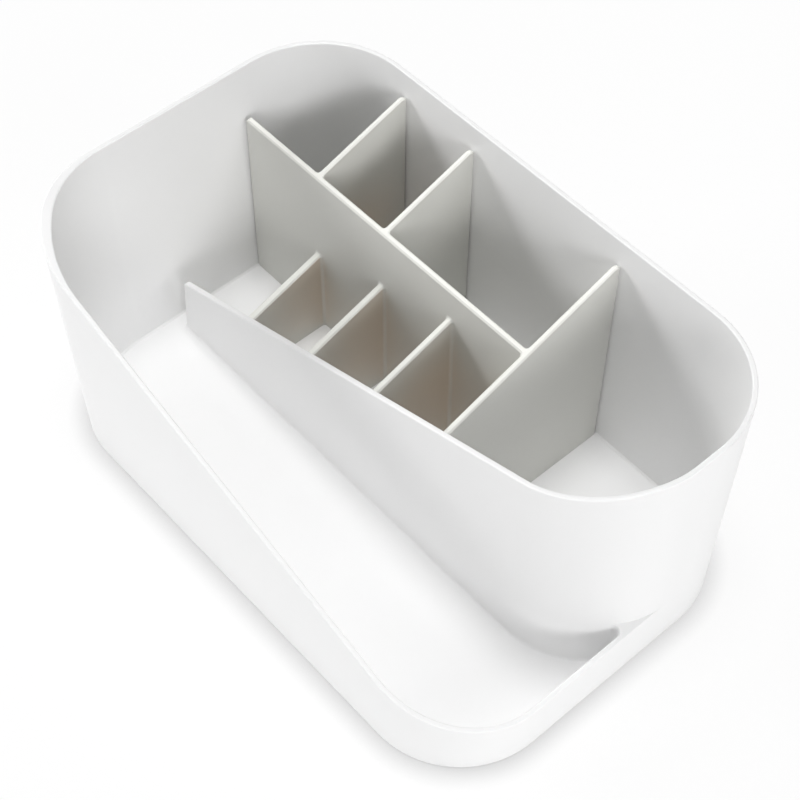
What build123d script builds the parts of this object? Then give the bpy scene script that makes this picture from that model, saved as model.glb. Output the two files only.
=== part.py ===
from build123d import *
from math import atan2, degrees, hypot, radians, sqrt, tan
import os

# A desk organizer in two mouldings: a rounded open box with a low tray in front of a tall bin, and a
# loose divider that drops into the bin. Millimetres, +X right, +Y back, +Z up. Heights are counted from
# the underside of the box, and the finished part is raised to stand with its pads on Z = 0.

# Box, overall. Length and width are outer ones at the underside. Inside, the front left corner is a
# little rounder than the others
BASE_LENGTH = 260.0
BASE_WIDTH = 165.0
HEIGHT = 120.7
CORNER_RADIUS = 41.8
DRAFT = 1.18
WALL = 2.2
FLOOR = 2.6
BOTTOM_EDGE_BEVEL = 1.3
FLOOR_EDGE_BEVEL = 0.8
RIM_EDGE_RADIUS = 0.6
FRONT_LEFT_EXTRA = 5.0

# Tray rim: level round the left end, then one straight fall along the front to a low lip on the right
LIP_HEIGHT = 28.1
TRAY_RIM_SLOPE = 20.24
TRAY_RIM_BLEND = 30.0

# Bin front wall: upright, free at its left end, which leans to the right. Its rim rises to the right until
# it meets the level rim, and it curls round the bin's front right corner into the right end of the box.
# The narrow cleft between that corner and the tray's lip is filled up to a small round
BIN_FACE_Y = -14.95
BIN_WALL_TOP = 2.2
BIN_WALL_DRAFT = 0.3
BIN_RIM_SLOPE = 19.43
BIN_RIM_INSET = 1.986
BIN_RIM_BLEND = 10.0
BIN_SLOT = 7.2
BIN_END_LEAN = 5.0
BIN_END_RADIUS = 3.0
BIN_CORNER_RADIUS = 43.0
BIN_FOOT_RADIUS = 1.2
CLEFT_RADIUS = 2.5

# Divider: one long wall, two full cross walls, one short cross wall and the tall cross wall on the right
DIVIDER_TOP = 94.1
DIVIDER_WALL = 2.4
DIVIDER_DRAFT = 0.5
DIVIDER_SLOPE = 18.3
MAIN_WALL_Y = 32.2
CROSS_WALLS = 4
FRONT_ONLY_WALL = 2
END_WALL_X = 43.85
CELL_PITCH = 41.24
CELL_STEP = 15.1
DIVIDER_GAP = 0.3
DIVIDER_END_RADIUS = 2.5
DIVIDER_FOOT_CHAMFER = 1.2
DIVIDER_FILLET = 1.5
DIVIDER_EDGE_BEVEL = 0.6

# Pads under the box
PAD_DIAMETER = 12.0
PAD_THICKNESS = 1.5
PAD_PROUD = 0.5
PAD_CLEARANCE = 0.2
PAD_INSET = 34.0
PAD_BEVEL = 0.3

LEAN = tan(radians(DRAFT))
DIVIDER_LEAN = tan(radians(DIVIDER_DRAFT))
FALL = tan(radians(DIVIDER_SLOPE))
SPAN = BASE_LENGTH
OVERLAP = 0.5
NEAR = 0.01
SHALLOW = 1.03


def inner_x(z):
    """Half the clear length of the box at height z above its underside."""
    return BASE_LENGTH / 2 - WALL + LEAN * z


def inner_y(z):
    """Half the clear width of the box at height z above its underside."""
    return BASE_WIDTH / 2 - WALL + LEAN * z


def bin_inner_face(z):
    """Y of the bin side of the bin's front wall at height z."""
    return BIN_FACE_Y + BIN_WALL_TOP + tan(radians(BIN_WALL_DRAFT)) * (HEIGHT - z)


def free_end_x():
    """X of the foot of the bin wall's free end."""
    return -inner_x(FLOOR) + BIN_SLOT


def bin_rim_top_x():
    """X at which the bin's front rim meets the level rim, just inside the right end's wall."""
    return inner_x(HEIGHT) - BIN_RIM_INSET


def bin_rim(x):
    """Height of the bin's front rim above the underside."""
    return HEIGHT - tan(radians(BIN_RIM_SLOPE)) * (bin_rim_top_x() - x)


def tray_rim(x):
    """Height of the tray's front rim above the underside."""
    return LIP_HEIGHT + tan(radians(TRAY_RIM_SLOPE)) * (BASE_LENGTH / 2 - x)


def outline(points, blends=(), bevels=()):
    """A flat face from its corner points, with some of its corners rounded or bevelled."""
    face = make_face(Polyline(points, close=True))
    for corner, radius in blends:
        face = fillet(face.vertices().sort_by_distance((*corner, 0))[0], radius)
    for corner, length in bevels:
        face = chamfer(face.vertices().sort_by_distance((*corner, 0))[0], length)
    return face


def front_view(face, y_near, y_far):
    """A prism across the box from an outline drawn in X and Z."""
    return Pos(0, y_far, 0) * extrude(Plane.XZ * face, amount=y_far - y_near)


def side_view(face, x_near, x_far):
    """A prism along the box from an outline drawn in Y and Z."""
    return Pos(x_near, 0, 0) * extrude(Plane.YZ * face, amount=x_far - x_near)


def drafted_block(half_length, half_width, radius, front_left_radius, bottom):
    """A rounded block that widens upwards by the draft of the box."""
    corners = [(x, y) for x in (half_length, -half_length) for y in (half_width, -half_width)]
    blends = [(corner, radius) for corner in corners[:3]] + [(corners[3], front_left_radius)]
    points = [corners[0], corners[2], corners[3], corners[1]]
    return extrude(Plane.XY.offset(bottom) * outline(points, blends), amount=HEIGHT, taper=-DRAFT)


def bin_block(inset, near):
    """The bin's outline, open-ended to the left and back, with its rounded front right corner."""
    low, high = -FLOOR, HEIGHT + FLOOR
    right = BASE_LENGTH / 2 - inset
    front = outline([(-SPAN, low), (right + LEAN * low, low), (right + LEAN * high, high), (-SPAN, high)])
    side = outline([(near(low), low), (SPAN, low), (SPAN, high), (near(high), high)])
    block = front_view(front, -SPAN, 2 * SPAN) & side_view(side, -2 * SPAN, SPAN)
    corner = [edge for edge in block.edges()
              if edge.center().X > 0 and edge.center().Y < 0 and abs(edge.tangent_at(0.5).Z) > 0.9]
    return fillet(corner, BIN_CORNER_RADIUS - inset)


def border_edges(faces, wanted):
    """The wanted edges of some faces, all but those that two of the faces share."""
    edges = {}
    for face in faces:
        for edge in face.edges():
            middle = edge.center()
            if wanted(edge):
                place = (round(middle.X, 2), round(middle.Y, 2), round(middle.Z, 2), round(edge.length, 2))
                edges.setdefault(place, []).append(edge)
    return [found[0] for found in edges.values() if len(found) == 1]


def rounded_rim(solid, skip):
    """Rounds both edges of the faces on top of the walls, all but the edges that skip names."""
    tops = [face for face in solid.faces() if face.normal_at().Z > 0.5 and face.center().Z > 2 * FLOOR]
    return fillet(border_edges(tops, lambda edge: not skip(edge)), RIM_EDGE_RADIUS)


def bevelled_foot(solid, skip):
    """Bevels the line where the walls meet the floor, all but the edges that skip names."""
    edges = solid.edges().filter_by_position(Axis.Z, FLOOR - NEAR, FLOOR + NEAR)
    return chamfer([edge for edge in edges if not skip(edge)], FLOOR_EDGE_BEVEL)


def below_tray_rim():
    """The space under the tray's rim, as a prism across the box."""
    x_level = BASE_LENGTH / 2 - (HEIGHT - LIP_HEIGHT) / tan(radians(TRAY_RIM_SLOPE))
    points = [(-SPAN, -FLOOR), (SPAN, -FLOOR), (SPAN, tray_rim(SPAN)), (x_level, HEIGHT), (-SPAN, HEIGHT)]
    return front_view(outline(points, [((x_level, HEIGHT), TRAY_RIM_BLEND)]), -SPAN, SPAN)


def make_tray_side(cup):
    """The box cut down along the tray's falling rim."""
    tray = bevelled_foot(cup & below_tray_rim(), lambda edge: False)
    return rounded_rim(tray, lambda edge: False)


def make_front_wall(outer, bin_outer):
    """The bin's front wall, from its leaning free end to where it merges into the right end of the box."""
    lean = tan(radians(BIN_END_LEAN))
    x_foot = free_end_x()
    x_free = (x_foot + lean * (bin_rim(0) - FLOOR)) / (1 - lean * tan(radians(BIN_RIM_SLOPE)))
    low = FLOOR / 2
    free, top = (x_free, bin_rim(x_free)), (bin_rim_top_x(), HEIGHT)
    points = [(x_foot - lean * (FLOOR - low), low), (SPAN, low), (SPAN, HEIGHT), top, free]
    side = outline(points, [(top, BIN_RIM_BLEND), (free, BIN_END_RADIUS)])
    corner_end = BIN_FACE_Y + CORNER_RADIUS + LEAN * HEIGHT
    return (bin_outer - bin_block(WALL, bin_inner_face)) & front_view(side, BIN_FACE_Y, corner_end) & outer


def make_bin_side(cup, outer, bin_outer):
    """The bin: its share of the box and its front wall."""
    x_foot = free_end_x()

    def on_cut(edge):
        return edge.center().Y < BIN_FACE_Y + NEAR and edge.center().X < x_foot + NEAR

    def not_bevelled(edge):
        middle = edge.center()
        at_free_end = abs(middle.X - x_foot) < OVERLAP and middle.Y < bin_inner_face(FLOOR)
        return middle.Y < BIN_FACE_Y + NEAR or at_free_end

    whole = (cup & bin_outer) + make_front_wall(outer, bin_outer)
    return rounded_rim(bevelled_foot(whole, not_bevelled), on_cut)


def bin_corner():
    """Centre of the bin's front right corner where it stands on the floor."""
    return BASE_LENGTH / 2 + LEAN * FLOOR - BIN_CORNER_RADIUS, BIN_FACE_Y + BIN_CORNER_RADIUS


def cleft_round():
    """From the bin corner's centre to the centre of the round that ends the cleft beside the tray's lip."""
    across = BIN_CORNER_RADIUS - WALL - CLEFT_RADIUS
    return across, -sqrt((BIN_CORNER_RADIUS + CLEFT_RADIUS) ** 2 - across ** 2)


def make_cleft_web():
    """The web that closes the narrow end of the cleft between the tray's lip and the bin's corner."""
    x, y = bin_corner()
    across, along = cleft_round()
    bite = WALL / 2
    face = BIN_CORNER_RADIUS - WALL
    tip = -sqrt(BIN_CORNER_RADIUS ** 2 - face ** 2)
    at_tip = 1 - bite / BIN_CORNER_RADIUS
    at_wall = (BIN_CORNER_RADIUS - bite) / hypot(across, along)
    points = [(x + across, y + along), (x + face + bite, y + along), (x + face + bite, y + tip),
              (x + face * at_tip, y + tip * at_tip), (x + across * at_wall, y + along * at_wall)]
    plan = outline(points) - Pos(*points[0]) * Circle(CLEFT_RADIUS)
    web = extrude(Pos(0, 0, FLOOR) * plan, amount=HEIGHT, dir=(LEAN, 0, 1)) & below_tray_rim()
    top = web.faces().sort_by(Axis.Z)[-1]
    return fillet([edge for edge in top.edges() if edge.geom_type != GeomType.LINE], RIM_EDGE_RADIUS)


def make_bin_foot():
    """The rounded foot of the bin's front wall on the tray side, from the free end to the cleft's web."""
    x, y = bin_corner()
    across, along = cleft_round()
    start = free_end_x()
    turn = 90 + degrees(atan2(along, across)) + OVERLAP
    near, high = BIN_FACE_Y - BIN_FOOT_RADIUS, FLOOR + BIN_FOOT_RADIUS
    far, low = BIN_FACE_Y + OVERLAP, FLOOR - OVERLAP
    section = outline([(near, low), (far, low), (far, high), (near, high)])
    section = section - Pos(near, high) * Circle(BIN_FOOT_RADIUS * SHALLOW)
    path = Line((start, BIN_FACE_Y, FLOOR), (x, BIN_FACE_Y, FLOOR))
    path = path + CenterArc((x, y, FLOOR), BIN_CORNER_RADIUS, -90, turn)
    return sweep(Pos(start, 0, 0) * (Plane.YZ * section), path=path)


def pad_places():
    """Centres of the four pads, by name."""
    x = BASE_LENGTH / 2 - PAD_INSET
    y = BASE_WIDTH / 2 - PAD_INSET
    return {"front_left": (-x, -y), "front_right": (x, -y), "back_left": (-x, y), "back_right": (x, y)}


def make_shell():
    """The box: tray, bin, floor and the bin's front wall, one moulding."""
    outer = drafted_block(BASE_LENGTH / 2, BASE_WIDTH / 2, CORNER_RADIUS, CORNER_RADIUS, 0)
    outer = chamfer(outer.faces().sort_by(Axis.Z)[0].edges(), BOTTOM_EDGE_BEVEL)
    radius = CORNER_RADIUS - WALL + LEAN * FLOOR
    cup = outer - drafted_block(inner_x(FLOOR), inner_y(FLOOR), radius, radius + FRONT_LEFT_EXTRA, FLOOR)
    bin_outer = bin_block(0, lambda z: BIN_FACE_Y)
    shell = (make_tray_side(cup) - bin_outer) + make_bin_side(cup, outer, bin_outer)
    shell = shell.fix() + make_cleft_web() + make_bin_foot()
    recess = Cylinder(PAD_DIAMETER / 2 + PAD_CLEARANCE, 2 * (PAD_THICKNESS - PAD_PROUD))
    for x, y in pad_places().values():
        shell = shell - Pos(x, y, 0) * recess
    return shell


def make_pad(x, y):
    """A round rubber pad, standing out of its recess."""
    pad = Pos(x, y, PAD_THICKNESS / 2 - PAD_PROUD) * Cylinder(PAD_DIAMETER / 2, PAD_THICKNESS)
    return chamfer(pad.edges().sort_by(Axis.Z)[0], PAD_BEVEL)


def wall_section(foot_at):
    """Section of a wall that narrows upwards, one face's foot at foot_at: places across it and heights."""
    def half(z):
        return DIVIDER_WALL / 2 + DIVIDER_LEAN * (DIVIDER_TOP - z)
    middle = foot_at - half(FLOOR)
    right = [(middle + half(z), z) for z in (FLOOR, HEIGHT)]
    left = [(middle - half(z), z) for z in (HEIGHT, FLOOR)]
    return right + left


def divider_top(y, drop=0):
    """Height of the divider's sloping top, lowered by drop."""
    crest = MAIN_WALL_Y + DIVIDER_LEAN * (DIVIDER_TOP - FLOOR)
    return DIVIDER_TOP - drop + FALL * (y - crest)


def below_top(y_near, y_far, drop, blends=(), bevels=()):
    """The space under the sloping top from one place to another, as a prism along the box."""
    points = [(y_near(FLOOR), FLOOR), (y_far(FLOOR), FLOOR)]
    for end in (y_far, y_near):
        y = end(divider_top(end(DIVIDER_TOP), drop))
        points.append((y, divider_top(y, drop)))
    side = outline(points, [(points[index], DIVIDER_END_RADIUS) for index in blends],
                   [(points[index], DIVIDER_FOOT_CHAMFER) for index in bevels])
    return side_view(side, -SPAN, SPAN)


def make_long_wall():
    """The long wall, from its upright left end to the right cross wall."""
    left = -inner_x(FLOOR) + DIVIDER_GAP
    far = END_WALL_X - DIVIDER_WALL / 2
    section = [(2 * MAIN_WALL_Y - y, z) for y, z in wall_section(MAIN_WALL_Y)]
    crest = divider_top(MAIN_WALL_Y + 2 * DIVIDER_WALL)
    side = outline([(left, FLOOR), (left, crest), (far, crest), (far, FLOOR)],
                   [((left, crest), DIVIDER_END_RADIUS)], [((left, FLOOR), DIVIDER_FOOT_CHAMFER)])
    whole = side_view(outline(section), -SPAN, far) & front_view(side, -SPAN, SPAN)
    return whole & below_top(lambda z: 0, inner_y, 0)


def middle_of_long_wall(z):
    """Y inside the long wall at height z."""
    return MAIN_WALL_Y + DIVIDER_WALL / 2


def cross_wall_x(number):
    """X of a cross wall's right face at its foot; the last wall is the one on the right."""
    return END_WALL_X - CELL_PITCH * (CROSS_WALLS - 1 - number)


def cross_wall(number):
    """The endless wall that a cross wall is cut from."""
    return front_view(outline(wall_section(cross_wall_x(number))), -SPAN, SPAN)


def front_part(number):
    """A cross wall's part in front of the long wall, a step lower than its right neighbour's."""
    drop = CELL_STEP * (CROSS_WALLS - 1 - number)
    return cross_wall(number) & below_top(
        lambda z: bin_inner_face(z) + DIVIDER_GAP, middle_of_long_wall, drop, [3], [0])


def back_part(number):
    """A cross wall's part behind the long wall."""
    return cross_wall(number) & below_top(
        middle_of_long_wall, lambda z: inner_y(z) - DIVIDER_GAP, 0, [2], [1])


def bevelled_top(solid):
    """Bevels both edges of the sloping tops, and of the wall ends that they run into."""
    tops = [face for face in solid.faces().filter_by(GeomType.PLANE)
            if face.normal_at().Z > 0.8 and face.center().Z > 2 * FLOOR]

    def not_across(edge):
        return edge.geom_type != GeomType.LINE or edge.length > 2 * DIVIDER_WALL

    return chamfer(border_edges(tops, not_across), DIVIDER_EDGE_BEVEL)


def upright_corners(solid):
    """The inside corners between the long wall and the walls that cross it."""
    corners = []
    for edge in solid.edges().filter_by(GeomType.LINE):
        middle = edge.center()
        upright = abs(edge.tangent_at(0.5).Z) > 0.98 and edge.length > CELL_STEP
        at_long_wall = MAIN_WALL_Y - 1 < middle.Y < MAIN_WALL_Y + 2 * DIVIDER_WALL
        if upright and at_long_wall and middle.X > -inner_x(0) + DIVIDER_WALL:
            corners.append(edge)
    return corners


def front_joints(solid, numbers):
    """The lines in which the lower front parts meet the long wall's face, up both sides and over the top."""
    def on_face(point):
        return abs(point.Y - MAIN_WALL_Y - DIVIDER_LEAN * (point.Z - FLOOR)) < 2 * NEAR

    joints = []
    for edge in solid.edges():
        if edge.length < HEIGHT and all(on_face(edge.position_at(part)) for part in (0, 0.5, 1)):
            middle = edge.center()
            for number in numbers:
                across = abs(middle.X - cross_wall_x(number) + DIVIDER_WALL / 2)
                if across < 2 * DIVIDER_WALL and middle.Z > FLOOR + 1:
                    joints.append(edge)
    return joints


def make_divider():
    """The divider: upright walls crossing in one moulding, with no floor."""
    last = CROSS_WALLS - 1
    lower = range(last)
    divider = make_long_wall() + front_part(last)
    for number in range(CROSS_WALLS):
        if number != FRONT_ONLY_WALL:
            divider = divider + back_part(number)
    divider = bevelled_top(fillet(upright_corners(divider), DIVIDER_FILLET))
    for number in lower:
        divider = divider + bevelled_top(front_part(number))
    return fillet(front_joints(divider, lower), DIVIDER_FILLET)


if __name__ == "__main__":
    os.makedirs("parts", exist_ok=True)
    pieces = {"outer_shell": make_shell(), "divider_insert": make_divider()}
    for name, (x, y) in pad_places().items():
        pieces["foot_pad_" + name] = make_pad(x, y)
    for name, piece in pieces.items():
        piece = Pos(0, 0, PAD_PROUD) * piece
        print(name, piece.is_valid, len(piece.solids()), round(piece.volume), piece.bounding_box())
        export_step(piece, f"parts/{name}.step")
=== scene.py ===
import math

import bmesh
import bpy
from mathutils import Matrix, Vector

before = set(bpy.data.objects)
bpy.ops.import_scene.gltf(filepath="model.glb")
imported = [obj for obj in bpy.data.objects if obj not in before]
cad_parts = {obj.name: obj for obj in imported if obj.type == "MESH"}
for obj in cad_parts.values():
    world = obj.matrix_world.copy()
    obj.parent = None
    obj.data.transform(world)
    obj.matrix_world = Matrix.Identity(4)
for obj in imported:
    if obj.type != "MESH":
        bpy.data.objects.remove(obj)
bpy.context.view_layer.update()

bl_info = {
    "name": "Desk organizer look",
    "version": (1, 0, 0),
    "blender": (4, 5, 0),
    "location": "View3D > Sidebar > Organizer",
    "description": "Finishes the moulded organizer, its divider and its pads, and sets the pale stage",
    "category": "Object",
}

PAD_NODES = [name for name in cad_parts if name.startswith("foot_pad")]

WHITE = (1.0, 1.0, 1.0, 1.0)
PLASTIC_IOR = 1.5

# Lengths are in metres. A range whose first value is the larger one falls with what it measures.

# The noise patterns of both plastics, in waves per metre, and how far they reach
FLOW_SCALE, SLOW_SCALE, FINE_SCALE = 18.0, 55.0, 2600.0
SLOW_GLOSS, FINE_GLOSS, GLOSS_OFFSET = 0.05, 0.04, -0.04
WAVE_DEPTH, WAVE_STRENGTH, GRAIN_STRENGTH = 0.0004, 0.12, 0.35
SHELL_MOTTLE, DIVIDER_MOTTLE = 0.012, 0.024
SHELL_COAT, COAT_ROUGHNESS = 0.15, 0.3

# The painted light on the tops of the walls: their tone against the sides (painted shade on the box's rims, a
# painted highlight on the divider's tops), how far up they face and the height they start at
SHELL_RIM_PAINTED_SHADE, DIVIDER_RIM_PAINTED_HIGHLIGHT = 0.92, 1.25
RIM_FACING = (0.45, 0.85)
RIM_HEIGHT = (0.008, 0.014)

# Where the divider's cells get their painted warm shade: the reach and the share of open sky, and the height
CELL_REACH = 0.06
CELL_OPEN_SHARE = (0.62, 0.3)
CELL_HEIGHT = (0.09, 0.045)
SHARE_SAMPLES = 8

# The pads' dust
DUST_SCALE, DUST_ROUGHNESS, DUST_DEPTH, DUST_STRENGTH = 900.0, 0.15, 0.00003, 0.4
RUBBER_ROUGHNESS = 0.62
DUST_SHADES = (0.94, 1.05)

# The floor: half its side, what it reflects, the tone of its contact shadow and where it turns all white
FLOOR_REACH = 2.5
FLOOR_COLOR = (0.91, 0.91, 0.91, 1.0)
CONTACT_TONE = 0.48
FLOOR_FADE = (0.35, 1.0)

SENSOR_WIDTH = 36.0
FARTHEST_SEEN = 50.0

# Softboxes: name, turn from +X to +Y and height angle in degrees, setting that gives the power, share of it
SOFTBOXES = (
    ("top_softbox", 0.0, 90.0, "top", 1.0),
    ("left_softbox", 180.0, 22.0, "left", 0.46),
    ("front_left_softbox", 220.0, 22.0, "left", 0.54),
    ("front_right_softbox", -35.0, 16.0, "right", 0.3),
    ("low_right_softbox", -20.0, 16.0, "right", 0.37),
    ("right_softbox", 10.0, 28.0, "right", 0.33),
)
SOFTBOX_HALF_ANGLE = math.radians(10.5)


# Shader expressions


class Wire:
    """An output socket of a material, with arithmetic that adds Math nodes."""

    def __init__(self, graph, socket):
        self.graph = graph
        self.socket = socket

    def math(self, operation, *values):
        return self.graph.node("ShaderNodeMath", {"operation": operation}, dict(enumerate(values)))

    def __add__(self, other):
        return self.math("ADD", self, other)

    def __radd__(self, other):
        return self.math("ADD", other, self)

    def __mul__(self, other):
        return self.math("MULTIPLY", self, other)


class Graph:
    """The node tree of one material or world."""

    def __init__(self, owner):
        owner.use_nodes = True
        self.tree = owner.node_tree
        self.tree.nodes.clear()

    def node(self, kind, settings=None, inputs=None, output=0):
        """Adds a node: its settings first, then its sockets, each a value or another node's output."""
        node = self.tree.nodes.new(kind)
        for name, value in (settings or {}).items():
            setattr(node, name, value)
        for name, value in (inputs or {}).items():
            socket = node.inputs[name]
            if isinstance(value, Wire):
                self.tree.links.new(value.socket, socket)
            else:
                socket.default_value = value
        return Wire(self, node.outputs[output]) if node.outputs else node

    def mix(self, factor, first, second, blend="MIX"):
        """A colour between two colours, or with MULTIPLY and a factor of 1 their product."""
        # The Mix node has sockets for each data type: 6, 7 and the output 2 are those for colours
        return self.node("ShaderNodeMix", {"data_type": "RGBA", "blend_type": blend},
                         {0: factor, 6: first, 7: second}, 2)

    def smooth_step(self, value, start, end):
        """0 before start and 1 past end, with a smooth way between."""
        return self.node("ShaderNodeMapRange", {"interpolation_type": "SMOOTHSTEP"},
                         {"Value": value, "From Min": start, "From Max": end})

    def noise(self, place, scale, detail=2.0, roughness=0.5):
        """Even noise between 0 and 1; scale is in waves per metre."""
        return self.node("ShaderNodeTexNoise", {}, {"Vector": place, "Scale": scale, "Detail": detail,
                                                    "Roughness": roughness})

    def height(self, vector):
        """The Z part of a vector."""
        return self.node("ShaderNodeSeparateXYZ", {}, {"Vector": vector}, "Z")

    def bump(self, height, distance, strength, normal=None):
        """A normal bent by a height; distance is the height's depth in metres."""
        inputs = {"Height": height, "Distance": distance, "Strength": strength}
        if normal:
            inputs["Normal"] = normal
        return self.node("ShaderNodeBump", {}, inputs)

    def place(self):
        """Object coordinates, in metres."""
        return self.node("ShaderNodeTexCoord", output="Object")

    def open_share(self, reach, only_local):
        """How much of the sky over a place is free within reach: 1 in the open, 0 where it is closed in."""
        return self.node("ShaderNodeAmbientOcclusion", {"samples": SHARE_SAMPLES, "only_local": only_local},
                         {"Distance": reach}, "AO")


def linear(color):
    """A display colour as the shader's linear one, by the sRGB curve."""
    levels = [((value + 0.055) / 1.055) ** 2.4 if value > 0.04045 else value / 12.92 for value in color]
    return levels + [1.0]


def shade(color, factor):
    """A linear colour made lighter or darker."""
    return [min(1.0, value * factor) for value in color[:3]] + [1.0]


def painted_cell_shade_mask(graph, place):
    """Mask of the painted warm shade: 1 low down where the piece's own walls close a place in, 0 on its open
    faces and near its tops.
    """
    closed = graph.smooth_step(graph.open_share(CELL_REACH, True), *CELL_OPEN_SHARE)
    return closed * graph.smooth_step(graph.height(place), *CELL_HEIGHT)


def painted_rim_light_mask(graph, place):
    """Mask of the painted light and shade on the tops of the walls: 1 on the tops, 0 on their sides and on the
    floor.
    """
    upward = graph.height(graph.node("ShaderNodeTexCoord", output="Normal"))
    return graph.smooth_step(upward, *RIM_FACING) * graph.smooth_step(graph.height(place), *RIM_HEIGHT)


def moulded_plastic(name, settings, mottle, coat, painted_rim_tone, painted_cell_shade_color=None):
    """Injection-moulded plastic: a fine eroded grain, slight flow mottling and uneven gloss, with painted light
    on the tops of the walls and, where a cell shade colour is given, painted warm shade low in the cells.
    """
    material = bpy.data.materials.new(name)
    graph = Graph(material)
    place = graph.place()
    flow = graph.noise(place, FLOW_SCALE, 3.0)
    fine = graph.noise(place, FINE_SCALE, roughness=0.6)
    slow = graph.noise(place, SLOW_SCALE)
    color = body_color = linear(settings.color)
    # Painted shade: low in the cells, where the walls close the sky in, the colour turns to the warmer shade
    # colour
    if painted_cell_shade_color:
        color = graph.mix(painted_cell_shade_mask(graph, place), color, painted_cell_shade_color)
    # Painted light on the tops: where faces look up, the colour is darkened (painted shade) or lightened
    # (painted highlight) by the rim tone
    color = graph.mix(painted_rim_light_mask(graph, place), color, shade(body_color, painted_rim_tone))
    streaks = graph.mix(flow, shade(WHITE, 1 - mottle), WHITE)
    shader = graph.node("ShaderNodeBsdfPrincipled", {}, {
        "Base Color": graph.mix(1.0, color, streaks, "MULTIPLY"),
        "Roughness": settings.roughness + GLOSS_OFFSET + slow * SLOW_GLOSS + fine * FINE_GLOSS,
        "IOR": PLASTIC_IOR,
        "Coat Weight": coat,
        "Coat Roughness": COAT_ROUGHNESS,
        "Normal": graph.bump(slow, WAVE_DEPTH, WAVE_STRENGTH, graph.bump(fine, settings.grain, GRAIN_STRENGTH)),
    })
    graph.node("ShaderNodeOutputMaterial", {}, {"Surface": shader})
    return material


def pad_rubber(name, color):
    """Soft rubber with a dull, slightly dusty face."""
    material = bpy.data.materials.new(name)
    graph = Graph(material)
    place = graph.place()
    dust = graph.noise(place, DUST_SCALE, 3.0, 0.6)
    shader = graph.node("ShaderNodeBsdfPrincipled", {}, {
        "Base Color": graph.mix(dust, *(shade(color, factor) for factor in DUST_SHADES)),
        "Roughness": RUBBER_ROUGHNESS + dust * DUST_ROUGHNESS,
        "Normal": graph.bump(dust, DUST_DEPTH, DUST_STRENGTH),
    })
    graph.node("ShaderNodeOutputMaterial", {}, {"Surface": shader})
    return material


def finish_node(node, material):
    """Gives a node of the frame a better material, in each of its slots."""
    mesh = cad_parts[node].data
    if not mesh.materials:
        mesh.materials.append(material)
    for index in range(len(mesh.materials)):
        mesh.materials[index] = material


# Settings that a user may change


class ShellSettings(bpy.types.PropertyGroup):
    color: bpy.props.FloatVectorProperty(
        name="Shell colour", description="Display colour of the box", subtype="COLOR_GAMMA", size=3,
        min=0.0, max=1.0, default=(0.975, 0.975, 0.975))
    roughness: bpy.props.FloatProperty(
        name="Roughness", description="Roughness of the box's satin face", min=0.0, max=1.0, default=0.42)
    grain: bpy.props.FloatProperty(
        name="Grain depth", description="Depth of the mould's fine grain", unit="LENGTH", min=0.0,
        default=0.00002)


class DividerSettings(bpy.types.PropertyGroup):
    color: bpy.props.FloatVectorProperty(
        name="Divider colour", description="Display colour of the divider", subtype="COLOR_GAMMA", size=3,
        min=0.0, max=1.0, default=(0.863, 0.863, 0.843))
    # Painted warm shade: the colour the divider takes low down in its cells, where its own walls close it in
    painted_cell_shade_color: bpy.props.FloatVectorProperty(
        name="Deep colour", description="Display colour of the divider low down in its cells",
        subtype="COLOR_GAMMA", size=3, min=0.0, max=1.0, default=(0.885, 0.835, 0.775))
    roughness: bpy.props.FloatProperty(
        name="Roughness", description="Roughness of the divider's matte face", min=0.0, max=1.0, default=0.5)
    grain: bpy.props.FloatProperty(
        name="Grain depth", description="Depth of the mould's fine grain", unit="LENGTH", min=0.0,
        default=0.00003)


class PadSettings(bpy.types.PropertyGroup):
    color: bpy.props.FloatVectorProperty(
        name="Pad colour", description="Display colour of the rubber pads", subtype="COLOR_GAMMA", size=3,
        min=0.0, max=1.0, default=(0.78, 0.78, 0.77))


class StageSettings(bpy.types.PropertyGroup):
    azimuth: bpy.props.FloatProperty(
        name="Azimuth", description="Camera's turn to the right of the front", subtype="ANGLE",
        default=math.radians(48.648))
    elevation: bpy.props.FloatProperty(
        name="Elevation", description="Camera's height angle over the table", subtype="ANGLE",
        default=math.radians(53.037))
    roll: bpy.props.FloatProperty(
        name="Roll", description="Camera's turn about its own view", subtype="ANGLE",
        default=math.radians(0.131))
    distance: bpy.props.FloatProperty(
        name="Distance", description="Camera's distance from the aim point", unit="LENGTH", default=0.7827)
    aim: bpy.props.FloatVectorProperty(
        name="Aim point", description="Point on the table at the picture's middle", subtype="TRANSLATION",
        size=3, default=(-0.02705, 0.03063, 0.0))
    lens: bpy.props.FloatProperty(
        name="Lens", description="Focal length in millimetres for a 36 mm sensor", min=1.0, default=80.31)
    sky: bpy.props.FloatProperty(
        name="Sky", description="Strength of the even white surround", min=0.0, default=0.2)
    top: bpy.props.FloatProperty(
        name="Top light", description="Power of the softbox over the table, in watts", min=0.0, default=43.5)
    left: bpy.props.FloatProperty(
        name="Left light", description="Power of the low softboxes on the left, in watts", min=0.0,
        default=50.5)
    right: bpy.props.FloatProperty(
        name="Right light", description="Power of the low softboxes on the right, in watts", min=0.0,
        default=41.5)
    distance_of_lamps: bpy.props.FloatProperty(
        name="Lamp distance", description="Distance of the softboxes from the object", unit="LENGTH",
        default=3.0)
    floor_white: bpy.props.FloatProperty(
        name="Floor whiteness", description="How far the floor is seen as plain white", subtype="FACTOR",
        min=0.0, max=1.0, default=0.85)
    contact: bpy.props.FloatProperty(
        name="Contact shadow", description="Reach of the soft shadow round the foot of the object",
        unit="LENGTH", min=0.001, default=0.01)


# Pieces


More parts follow.
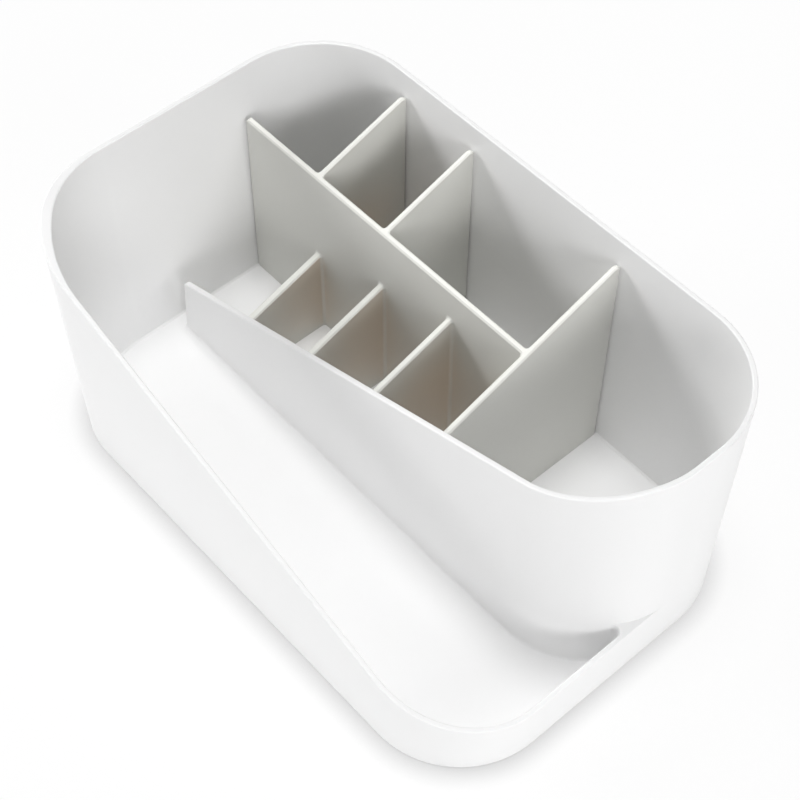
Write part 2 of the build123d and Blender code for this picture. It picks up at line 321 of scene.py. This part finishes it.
class ORGANIZER_OT_shell(bpy.types.Operator):
    """Finishes the box in white satin plastic"""

    bl_idname = "organizer.shell"
    bl_label = "Finish the box"

    def execute(self, context):
        plastic = moulded_plastic("white_satin_plastic", context.scene.organizer_shell, SHELL_MOTTLE,
                                  SHELL_COAT, SHELL_RIM_PAINTED_SHADE)
        finish_node("outer_shell", plastic)
        return {"FINISHED"}


class ORGANIZER_OT_divider(bpy.types.Operator):
    """Finishes the divider in warm light grey plastic"""

    bl_idname = "organizer.divider"
    bl_label = "Finish the divider"

    def execute(self, context):
        settings = context.scene.organizer_divider
        plastic = moulded_plastic("warm_grey_plastic", settings, DIVIDER_MOTTLE, 0.0, DIVIDER_RIM_PAINTED_HIGHLIGHT,
                                  linear(settings.painted_cell_shade_color))
        finish_node("divider_insert", plastic)
        return {"FINISHED"}


class ORGANIZER_OT_pads(bpy.types.Operator):
    """Finishes the four rubber pads"""

    bl_idname = "organizer.pads"
    bl_label = "Finish the pads"

    def execute(self, context):
        rubber = pad_rubber("pad_rubber", linear(context.scene.organizer_pads.color))
        for node in PAD_NODES:
            finish_node(node, rubber)
        return {"FINISHED"}


def softbox(name, turn, height, distance, power):
    """A round soft lamp that faces the object, at an angle round it and over it."""
    data = bpy.data.lights.new(name, "AREA")
    data.shape = "DISK"
    data.size = 2 * distance * math.tan(SOFTBOX_HALF_ANGLE)
    data.energy = power
    lamp = bpy.data.objects.new(name, data)
    level = distance * math.cos(height)
    place = Vector((level * math.cos(turn), level * math.sin(turn), distance * math.sin(height)))
    lamp.matrix_world = Matrix.Translation(place) @ place.to_track_quat("Z", "Y").to_matrix().to_4x4()
    bpy.context.scene.collection.objects.link(lamp)


def seen_directly(graph):
    """1 for what the camera, a mirror or glass sees, 0 for light on the object."""
    camera, glossy, glass = (graph.node("ShaderNodeLightPath", output=ray)
                             for ray in ("Is Camera Ray", "Is Glossy Ray", "Is Transmission Ray"))
    return camera.math("MAXIMUM", camera, glossy.math("MAXIMUM", glossy, glass))


class ORGANIZER_OT_stage(bpy.types.Operator):
    """Sets the pale floor, the white surround, the soft lamps and the camera"""

    bl_idname = "organizer.stage"
    bl_label = "Set the stage"

    def execute(self, context):
        settings = context.scene.organizer_stage
        self.floor(settings.floor_white, settings.contact)
        self.surround(context.scene, settings.sky)
        for name, turn, height, source, share in SOFTBOXES:
            softbox(name, math.radians(turn), math.radians(height), settings.distance_of_lamps,
                    share * getattr(settings, source))
        self.camera(context.scene, settings)
        context.scene.view_settings.view_transform = "Standard"
        return {"FINISHED"}

    def floor(self, whiteness, contact):
        mesh = bpy.data.meshes.new("floor")
        shape = bmesh.new()
        bmesh.ops.create_grid(shape, x_segments=1, y_segments=1, size=FLOOR_REACH)
        shape.to_mesh(mesh)
        shape.free()
        floor = bpy.data.objects.new("floor", mesh)
        bpy.context.scene.collection.objects.link(floor)
        material = bpy.data.materials.new("white_floor")
        graph = Graph(material)
        paper = graph.node("ShaderNodeBsdfDiffuse", {}, {"Color": FLOOR_COLOR})
        tone = graph.mix(graph.open_share(contact, False), shade(WHITE, CONTACT_TONE), WHITE)
        white = graph.node("ShaderNodeEmission", {}, {"Color": tone, "Strength": 1.0})
        spread = graph.node("ShaderNodeVectorMath", {"operation": "LENGTH"}, {0: graph.place()}, "Value")
        share = whiteness + graph.smooth_step(spread, *FLOOR_FADE) * (1 - whiteness)
        surface = graph.node("ShaderNodeMixShader", {}, {0: seen_directly(graph) * share, 1: paper, 2: white})
        graph.node("ShaderNodeOutputMaterial", {}, {"Surface": surface})
        mesh.materials.append(material)

    def surround(self, scene, strength):
        world = bpy.data.worlds.new("white_surround")
        scene.world = world
        graph = Graph(world)
        level = strength + seen_directly(graph) * (1 - strength)
        light = graph.node("ShaderNodeBackground", {}, {"Color": WHITE, "Strength": level})
        graph.node("ShaderNodeOutputWorld", {}, {"Surface": light})

    def camera(self, scene, settings):
        data = bpy.data.cameras.new("photo_camera")
        data.lens = settings.lens
        data.sensor_width = SENSOR_WIDTH
        data.clip_end = FARTHEST_SEEN
        camera = bpy.data.objects.new("photo_camera", data)
        turn = (Matrix.Rotation(settings.azimuth, 4, "Z")
                @ Matrix.Rotation(math.pi / 2 - settings.elevation, 4, "X")
                @ Matrix.Rotation(-settings.roll, 4, "Z"))
        back = turn @ Vector((0.0, 0.0, settings.distance, 0.0))
        camera.matrix_world = Matrix.Translation(Vector(settings.aim) + back.to_3d()) @ turn
        scene.collection.objects.link(camera)
        scene.camera = camera


class ORGANIZER_PT_panel(bpy.types.Panel):
    """Lists the steps that finish the organizer"""

    bl_idname = "ORGANIZER_PT_panel"
    bl_label = "Organizer"
    bl_space_type = "VIEW_3D"
    bl_region_type = "UI"
    bl_category = "Organizer"

    def draw(self, context):
        scene = context.scene
        groups = ((scene.organizer_shell, "organizer.shell"), (scene.organizer_divider, "organizer.divider"),
                  (scene.organizer_pads, "organizer.pads"), (scene.organizer_stage, "organizer.stage"))
        for settings, operator in groups:
            box = self.layout.box()
            for name in settings.__annotations__:
                box.prop(settings, name)
            box.operator(operator)


SETTINGS = {
    "organizer_shell": ShellSettings,
    "organizer_divider": DividerSettings,
    "organizer_pads": PadSettings,
    "organizer_stage": StageSettings,
}
CLASSES = [*SETTINGS.values(), ORGANIZER_OT_shell, ORGANIZER_OT_divider, ORGANIZER_OT_pads,
           ORGANIZER_OT_stage, ORGANIZER_PT_panel]


def register():
    for item in CLASSES:
        bpy.utils.register_class(item)
    for name, group in SETTINGS.items():
        setattr(bpy.types.Scene, name, bpy.props.PointerProperty(type=group))


def unregister():
    for name in SETTINGS:
        delattr(bpy.types.Scene, name)
    for item in reversed(CLASSES):
        bpy.utils.unregister_class(item)


def main():
    """Registers the add-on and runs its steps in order."""
    register()
    bpy.ops.organizer.shell()
    bpy.ops.organizer.divider()
    bpy.ops.organizer.pads()
    bpy.ops.organizer.stage()


if __name__ == "__main__":
    main()
